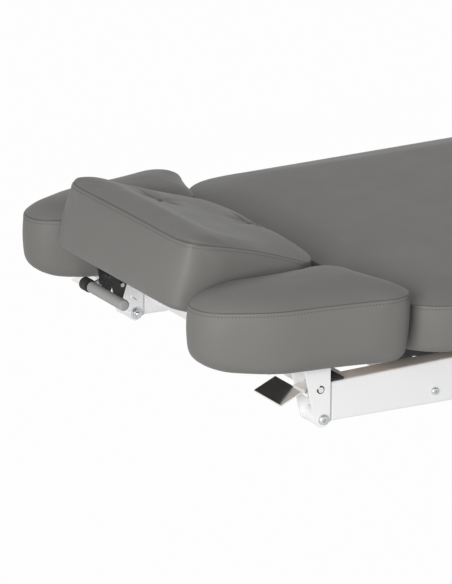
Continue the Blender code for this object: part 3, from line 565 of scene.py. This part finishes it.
def make_cushion(name, node, body, spec, along, step, place=None):
    """A sewn cushion in the place of its solid, built in rows round the solid's seam."""
    place = place or Matrix.Identity(4)
    back = place.inverted()
    points = np.array([back @ vert.co for vert in frame["nodes"][node].data.vertices])
    underside = points[:, 2].min()
    below_seam = np.abs(points[:, 2] - underside - spec["seam"] + EDGE_ROUND) < LEVEL_TOLERANCE
    square = smooth_loop(points[below_seam][:, :2], along, step, LOOP_PASSES)
    base = smooth_loop(points[below_seam][:, :2], along, step, spec["passes"])
    shape = bmesh.new()
    # Painted shade: 1 on the row of the seam's groove, 0 elsewhere
    painted_crease_shade = shape.verts.layers.float.new("painted_crease_shade")
    held = []
    rows = []
    for plan, height, kind in cushion_rows(base, square, along, spec, step):
        row = [shape.verts.new((x, y, underside + z)) for (x, y), z in zip(plan, height)]
        for vert in row:
            vert[painted_crease_shade] = 1.0 if kind == "seam" else 0.0
        held += [kind != "free"] * len(row)
        rows.append(row)
    for lower, upper in zip(rows, rows[1:]):
        for i, vert in enumerate(upper):
            j = (i + 1) % len(upper)
            shape.faces.new((lower[i], lower[j], upper[j], vert))
    cap(shape, rows[0])
    cap(shape, rows[-1])
    bmesh.ops.recalc_face_normals(shape, faces=shape.faces)
    bmesh.ops.transform(shape, matrix=place, verts=shape.verts)
    piece = add_object(name, smooth_mesh(name, shape), "grey_vinyl", body)
    group = piece.vertex_groups.new(name="held")
    group.add([i for i, flag in enumerate(held) if flag], 1.0, "REPLACE")
    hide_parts(node)
    return {"piece": piece, "loop": reached(base, spec), "seam": underside + spec["seam"],
            "arch": spec["arch"], "place": place, "body": body}


def read_points(mesh):
    flat = np.empty(len(mesh.vertices) * 3)
    mesh.vertices.foreach_get("co", flat)
    return flat.reshape(-1, 3)


def write_points(mesh, points):
    mesh.vertices.foreach_set("co", points.ravel())
    mesh.update()


def inflate(cushions):
    """Swells all the cushions between their seams with one cloth simulation."""
    scene = bpy.context.scene
    for cushion in cushions:
        cloth = cushion["piece"].modifiers.new("cloth", "CLOTH")
        cloth.settings.use_pressure = True
        cloth.settings.uniform_pressure_force = SIM_PRESSURE
        cloth.settings.vertex_group_mass = "held"
        cloth.settings.effector_weights.gravity = 0.0
        cloth.point_cache.frame_start = 1
        cloth.point_cache.frame_end = SIM_FRAMES
    for step in range(1, SIM_FRAMES + 1):
        scene.frame_set(step)
    graph = bpy.context.evaluated_depsgraph_get()
    for cushion in cushions:
        piece = cushion["piece"]
        settled = piece.evaluated_get(graph).to_mesh()
        rest = read_points(piece.data)
        shift = read_points(settled) - rest
        length = np.linalg.norm(shift, axis=1)
        limit = SWELL / np.maximum(length, SWELL)
        piece.evaluated_get(graph).to_mesh_clear()
        cushion["shape"] = rest + shift * limit[:, None]
    scene.frame_set(1)
    for cushion in cushions:
        piece = cushion["piece"]
        piece.modifiers.remove(piece.modifiers["cloth"])
        write_points(piece.data, cushion["shape"])


def round_off(piece, levels):
    """Subdivides a cushion into smooth faces."""
    smooth = piece.modifiers.new("smooth", "SUBSURF")
    smooth.levels = levels
    smooth.render_levels = levels
    graph = bpy.context.evaluated_depsgraph_get()
    mesh = bpy.data.meshes.new_from_object(piece.evaluated_get(graph), preserve_all_data_layers=True,
                                           depsgraph=graph)
    mesh.name = piece.data.name
    piece.modifiers.remove(smooth)
    piece.data = mesh


def press_headrest(cushion):
    """Presses the valley and the two puckers into the headrest's top, and paints shade along the puckers'
    slits.
    """
    mesh = cushion["piece"].data
    turn = np.array(cushion["place"].to_3x3())
    origin = np.array(cushion["place"].translation)
    points = (read_points(mesh) - origin) @ turn
    u = from_middle(points, cushion["loop"], 0)
    over_seam = points[:, 2] - cushion["seam"] - cushion["arch"] * (1 - u ** 2)
    top = np.clip(over_seam / SEAM_HALF, 0, 1) * filled(points, cushion["loop"])
    x = points[:, 0]
    y = points[:, 1]
    depth = VALLEY_DEPTH * dip(x - VALLEY_X, VALLEY_WIDTH)
    painted_shade = np.zeros(len(points))
    for pucker_x, pucker_y, half_length, pucker_depth, slant in PUCKERS:
        across = x - pucker_x - slant * (y - pucker_y)
        run = dip(y - pucker_y, half_length)
        reach = np.hypot(x - pucker_x, y - pucker_y)
        bearing = np.arctan2(y - pucker_y, x - pucker_x)
        around = dip(reach - FOLD_WIDTH / 2, FOLD_WIDTH / 2)
        folds = np.cos(FOLD_COUNT * bearing + pucker_x * FOLD_TURN) * around
        slit = dip(across, PUCKER_WIDTH) * run + DIMPLE_SHARE * dip(reach, DIMPLE_WIDTH)
        depth += pucker_depth * slit + FOLD_DEPTH * folds
        # Painted shade along each pucker's slit
        painted_shade = np.maximum(painted_shade, dip(across, PUCKER_WIDTH * PAINTED_SHADE_WIDTH) * run)
    points[:, 2] -= depth * top
    write_points(mesh, points @ turn.T + origin)
    # The painted shade joins the seam's in the attribute that draws the vinyl darker
    painted_crease_shade = mesh.attributes["painted_crease_shade"].data
    values = np.empty(len(painted_crease_shade))
    painted_crease_shade.foreach_get("value", values)
    painted_crease_shade.foreach_set("value", np.maximum(values, PAINTED_SHADE_DEPTH * painted_shade * top))


def stitch_row(cushion):
    """A row of thread along the side, just below the seam."""
    piece = cushion["piece"]
    surface = BVHTree.FromObject(piece, bpy.context.evaluated_depsgraph_get())
    loop = cushion["loop"]
    closed, lengths = closed_path(loop)
    heights = cushion["seam"] - STITCH_BELOW + cushion["arch"] * (1 - from_middle(closed, loop, 0) ** 2)
    route = np.column_stack((closed, heights))
    count = round(lengths[-1] / STITCH_PITCH)
    shape = bmesh.new()
    for k in range(count):
        ends = []
        for side in (-0.5, 0.5):
            at = (k + 0.5) * lengths[-1] / count + side * STITCH_LENGTH
            rough = Vector([np.interp(at, lengths, route[:, axis]) for axis in range(3)])
            spot, normal = surface.find_nearest(cushion["place"] @ rough)[:2]
            ends.append(spot + normal * STITCH_RADIUS * STITCH_RISE)
        along = ends[1] - ends[0]
        turn = along.to_track_quat("Z", "Y").to_matrix().to_4x4()
        stretch = Matrix.Diagonal((1, 1, along.length / 2 / STITCH_RADIUS, 1))
        bmesh.ops.create_icosphere(shape, subdivisions=1, radius=STITCH_RADIUS,
                                   matrix=Matrix.Translation((ends[0] + ends[1]) / 2) @ turn @ stretch)
    name = piece.name + "_stitches"
    add_object(name, smooth_mesh(name, shape), "thread", cushion["body"])


def headrest_axes():
    hinge = centre_of("headrest_hinge_rod")
    return Matrix.Translation(hinge) @ Matrix.Rotation(HEADREST_TILT, 4, "Y")


def make_cushions():
    plain = {"arch": 0.0, "sweep": 0.0, "foot_sweep": 1.0, "lift": 0.0, "lean": 0.0, "reach": (0.0, 0.0),
             "under": UNDER_ROUND, "passes": LOOP_PASSES, "top": crowned_top}
    body = plain | {"seam": BODY_SEAM, "crown": BODY_CROWN, "power": BODY_POWER}
    headrest = plain | {"seam": HEADREST_SEAM, "arch": HEADREST_ARCH, "under": HEADREST_UNDER_ROUND,
                        "passes": HEADREST_PASSES, "reach": HEADREST_REACH, "top": arched_top,
                        "board": HEADREST_BOARD}
    armrest = plain | {"seam": ARM_SEAM, "crown": ARM_CROWN, "power": ARM_POWER, "sweep": ARM_SWEEP,
                       "foot_sweep": ARM_FOOT_SWEEP, "lift": ARM_SWEEP_LIFT, "reach": ARM_REACH,
                       "board": ARM_BOARD}
    headrest_pad = make_cushion("headrest_pad", "headrest_cushion", "headrest", headrest, 1, PANEL_STEP,
                                headrest_axes())
    cushions = [headrest_pad, make_cushion("body_pad", "body_cushion", "carriage", body, 0, LONG_PANEL_STEP)]
    for word, inward in (("near", 1), ("far", -1)):
        cushions.append(make_cushion("armrest_pad_" + word, "armrest_cushion_" + word, "armrest_" + word,
                                     armrest | {"lean": inward * ARM_LEAN}, 0, PANEL_STEP))
    inflate(cushions)
    for cushion in cushions:
        round_off(cushion["piece"], HEADREST_LEVELS if cushion is headrest_pad else PAD_LEVELS)
    press_headrest(headrest_pad)
    for cushion in cushions:
        stitch_row(cushion)


# Fasteners and small metalwork

def finish_mesh(name, shape, place, finish, body):
    bmesh.ops.recalc_face_normals(shape, faces=shape.faces)
    bmesh.ops.transform(shape, matrix=place, verts=shape.verts)
    mesh = smooth_mesh(name, shape)
    mesh.set_sharp_from_angle(angle=SHARP_ANGLE)
    return add_object(name, mesh, finish, body)


def turned(name, profile, place, finish, body, closed=False):
    """A piece turned about Z: rings of (radius, height, sides), where no sides means round."""
    shape = bmesh.new()
    rings = []
    for radius, height, sides in profile:
        if not radius:
            rings.append([shape.verts.new((0, 0, height))])
            continue
        ring = []
        for k in range(TURN_STEPS):
            angle = 2 * pi * k / TURN_STEPS
            reach = radius
            if sides:
                wedge = 2 * pi / sides
                reach = radius * cos(wedge / 2) / cos(angle % wedge - wedge / 2)
            ring.append(shape.verts.new((reach * cos(angle), reach * sin(angle), height)))
        rings.append(ring)
    if closed:
        rings.append(rings[0])
    for first, second in zip(rings, rings[1:]):
        for i in range(TURN_STEPS):
            j = (i + 1) % TURN_STEPS
            corners = [first[i % len(first)], first[j % len(first)]]
            corners += [second[j % len(second)], second[i % len(second)]]
            shape.faces.new(list(dict.fromkeys(corners)))
    return finish_mesh(name, shape, place, finish, body)


def button_head(radius, height, socket):
    """Rings of a domed head with a hexagon socket, from the socket's floor to under the head."""
    rim, rim_depth = SOCKET_RIM
    floor = height * SOCKET_DEPTH
    rings = [(0, floor, 0), (socket, floor, HEX), (socket, height * rim_depth, HEX), (socket * rim, 0.0, 0)]
    return rings + [(radius * reach, height * level, 0) for reach, level in DOME]


def facing(point, outward):
    """Axes at a point whose Z goes into the bed from the side that is named by a sign."""
    turn = Vector((0, -outward, 0)).to_track_quat("Z", "X")
    return Matrix.Translation(point) @ turn.to_matrix().to_4x4()


def face_centre(node, outward):
    """The middle of a node's face on the side named by a sign, and the node's length across the bed."""
    low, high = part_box(node)
    at = centre_of(node)
    at.y = outer_face(node, outward)
    return at, high.y - low.y


def make_bolt(name, node, body, outward, sizes):
    """A button-head bolt in the place of a plain one, with its head on the outer side."""
    head_at, length = face_centre(node, outward)
    radius, height, socket, shank = sizes
    profile = button_head(radius, height, socket)
    profile += [(shank, height, 0), (shank, length - shank * SHANK_CHAMFER, 0)]
    profile += [(shank * (1 - SHANK_CHAMFER), length, 0), (0, length, 0)]
    piece = turned(name, profile, facing(head_at, outward), "zinc", body)
    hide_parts(node)


def make_nut(name, node, body, outward):
    """A flanged nut on the inner side of an armrest's pivot."""
    at, length = face_centre(node, -outward)
    hex_start, hex_end, flange_start = (length * level for level in NUT_LEVELS)
    profile = [(NUT_BORE, length, 0), (NUT_FLANGE, length, 0), (NUT_FLANGE, flange_start, 0),
               (NUT_HEX, hex_end, HEX), (NUT_HEX, hex_start, HEX), (NUT_HEX * NUT_CHAMFER, 0, 0),
               (NUT_BORE, 0, 0)]
    piece = turned(name, profile, facing(at, -outward), "zinc", body, closed=True)
    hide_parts(node)


def make_ring(word, outward):
    """An open retaining ring on the outer end of a paddle's shaft."""
    inner, outer, thick = SHAFT_RING
    joints = frame["record"]["behaviour"]["joints"]
    joint = next(row for row in joints if row["name"] == "paddle_lift_" + word)
    at = Vector(joint["pos_m"])
    at.y = outer_face("armrest_bracket_" + word, outward)
    corners = ((inner, 0), (outer, 0), (outer, -thick), (inner, -thick))
    shape = bmesh.new()
    sections = []
    for k in range(TURN_STEPS + 1):
        angle = RING_TURN + RING_OPENING / 2 + (2 * pi - RING_OPENING) * k / TURN_STEPS
        places = [(reach * cos(angle), reach * sin(angle), z) for reach, z in corners]
        sections.append([shape.verts.new(place) for place in places])
    for first, second in zip(sections, sections[1:]):
        for i in range(len(first)):
            j = (i + 1) % len(first)
            shape.faces.new((first[i], first[j], second[j], second[i]))
    shape.faces.new(sections[0])
    shape.faces.new(sections[-1])
    finish_mesh("retaining_ring_" + word, shape, facing(at, outward), "black_coat", "paddle_" + word)


def make_grip():
    """The foam sleeve with its rounded near end."""
    low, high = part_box("handle_grip")
    radius = (high.x - low.x) / 2
    at, length = face_centre("handle_grip", -1)
    angles = [pi / 2 * k / GRIP_EDGE_STEPS for k in range(GRIP_EDGE_STEPS + 1)]
    profile = [(0, 0, 0)]
    profile += [(radius - GRIP_EDGE * (1 - sin(angle)), GRIP_EDGE * (1 - cos(angle)), 0) for angle in angles]
    profile += [(radius, length, 0), (GRIP_BORE, length, 0), (GRIP_BORE, RECESS / 2, 0), (0, RECESS / 2, 0)]
    piece = turned("foam_grip", profile, facing(at, -1), "grey_foam", "handle")
    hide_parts("handle_grip")


def make_bracket_screw():
    """The button-head screw on the headrest bracket."""
    radius, height, socket = BRACKET_SCREW
    at = Vector(BRACKET_SCREW_AT) - Vector((0, height, 0))
    profile = button_head(radius, height, socket) + [(0, height, 0)]
    turned("bracket_screw", profile, headrest_axes() @ facing(at, -1), "zinc", "headrest")


def make_bracket_lip():
    """The front lip of the headrest bracket, with rounded edges."""
    low = Vector(LIP_LOW)
    high = Vector(LIP_HIGH)
    shape = bmesh.new()
    bmesh.ops.create_cube(shape, size=1.0, matrix=Matrix.LocRotScale((low + high) / 2, None, high - low))
    bmesh.ops.bevel(shape, geom=shape.edges[:], offset=LIP_EDGE, segments=LIP_SEGMENTS, affect="EDGES")
    finish_mesh("bracket_front_lip", shape, headrest_axes(), "black_coat", "headrest")


def make_fasteners():
    for word, outward in (("near", -1), ("far", 1)):
        make_bolt("button_bolt_" + word, "pivot_bolt_" + word, "armrest_" + word, outward, PIVOT_BOLT)
        make_nut("flanged_nut_" + word, "pivot_nut_" + word, "armrest_" + word, outward)
        make_bolt("button_screw_" + word, "rail_screw_" + word, "carriage", outward, RAIL_SCREW)
        make_ring(word, outward)
    make_bracket_screw()
    make_grip()
    make_bracket_lip()


def finish_nodes():
    """Gives each solid that stays in view the finish of its material slot."""
    # The rails take a white coat whose upward faces are warm beige
    special = {"rail_near": "rail_coat", "rail_far": "rail_coat"}
    for part in frame["record"]["subparts"]:
        node = frame["nodes"][part["node"]]
        finish = special.get(part["node"], part["material_slot"])
        for slot in range(len(node.data.materials)):
            node.data.materials[slot] = FINISHES[finish]


# Stage and light

def seen_directly(tree):
    """1 for rays from the camera and for reflections, 0 for light that bounces."""
    path = tree.nodes.new("ShaderNodeLightPath")
    total = path.outputs["Is Camera Ray"]
    for name in ("Is Glossy Ray", "Is Transmission Ray"):
        either = tree.nodes.new("ShaderNodeMath")
        either.operation = "MAXIMUM"
        tree.links.new(total, either.inputs[0])
        tree.links.new(path.outputs[name], either.inputs[1])
        total = either.outputs[0]
    return total


def make_stage():
    mesh = bpy.data.meshes.new("floor")
    half = STAGE_SIZE / 2
    corners = [(-half, -half, 0), (half, -half, 0), (half, half, 0), (-half, half, 0)]
    mesh.from_pydata(corners, [], [(0, 1, 2, 3)])
    floor = bpy.data.objects.new("floor", mesh)
    bpy.context.scene.collection.objects.link(floor)
    made, tree, shader = node_tree("studio_floor")
    shader.inputs["Base Color"].default_value = (FLOOR_GREY, FLOOR_GREY, FLOOR_GREY, 1.0)
    shader.inputs["Roughness"].default_value = FLOOR_ROUGHNESS
    glow = tree.nodes.new("ShaderNodeEmission")
    blend = tree.nodes.new("ShaderNodeMixShader")
    tree.links.new(spread(tree, seen_directly(tree), 0.0, FLOOR_GLOW), blend.inputs[0])
    tree.links.new(shader.outputs[0], blend.inputs[1])
    tree.links.new(glow.outputs[0], blend.inputs[2])
    tree.links.new(blend.outputs[0], tree.nodes["Material Output"].inputs["Surface"])
    mesh.materials.append(made)


def make_light():
    world = bpy.data.worlds.new("studio")
    world.use_nodes = True
    tree = world.node_tree
    background = tree.nodes["Background"]
    background.inputs["Color"].default_value = (1.0, 1.0, 1.0, 1.0)
    tree.links.new(spread(tree, seen_directly(tree), AMBIENT, 1.0), background.inputs["Strength"])
    bpy.context.scene.world = world
    lamp = bpy.data.lights.new("key", "AREA")
    lamp.energy = KEY_POWER
    lamp.size = KEY_SIZE
    key = bpy.data.objects.new("key", lamp)
    key.location = centre_of("headrest_cushion") + KEY_FROM_BED
    key.rotation_euler = KEY_FROM_BED.to_track_quat("Z", "Y").to_euler()
    bpy.context.scene.collection.objects.link(key)
    bpy.context.scene.view_settings.view_transform = "Standard"


FINISHES = make_finishes()
place_camera()
make_stage()
make_light()
finish_nodes()
make_cushions()
make_fasteners()
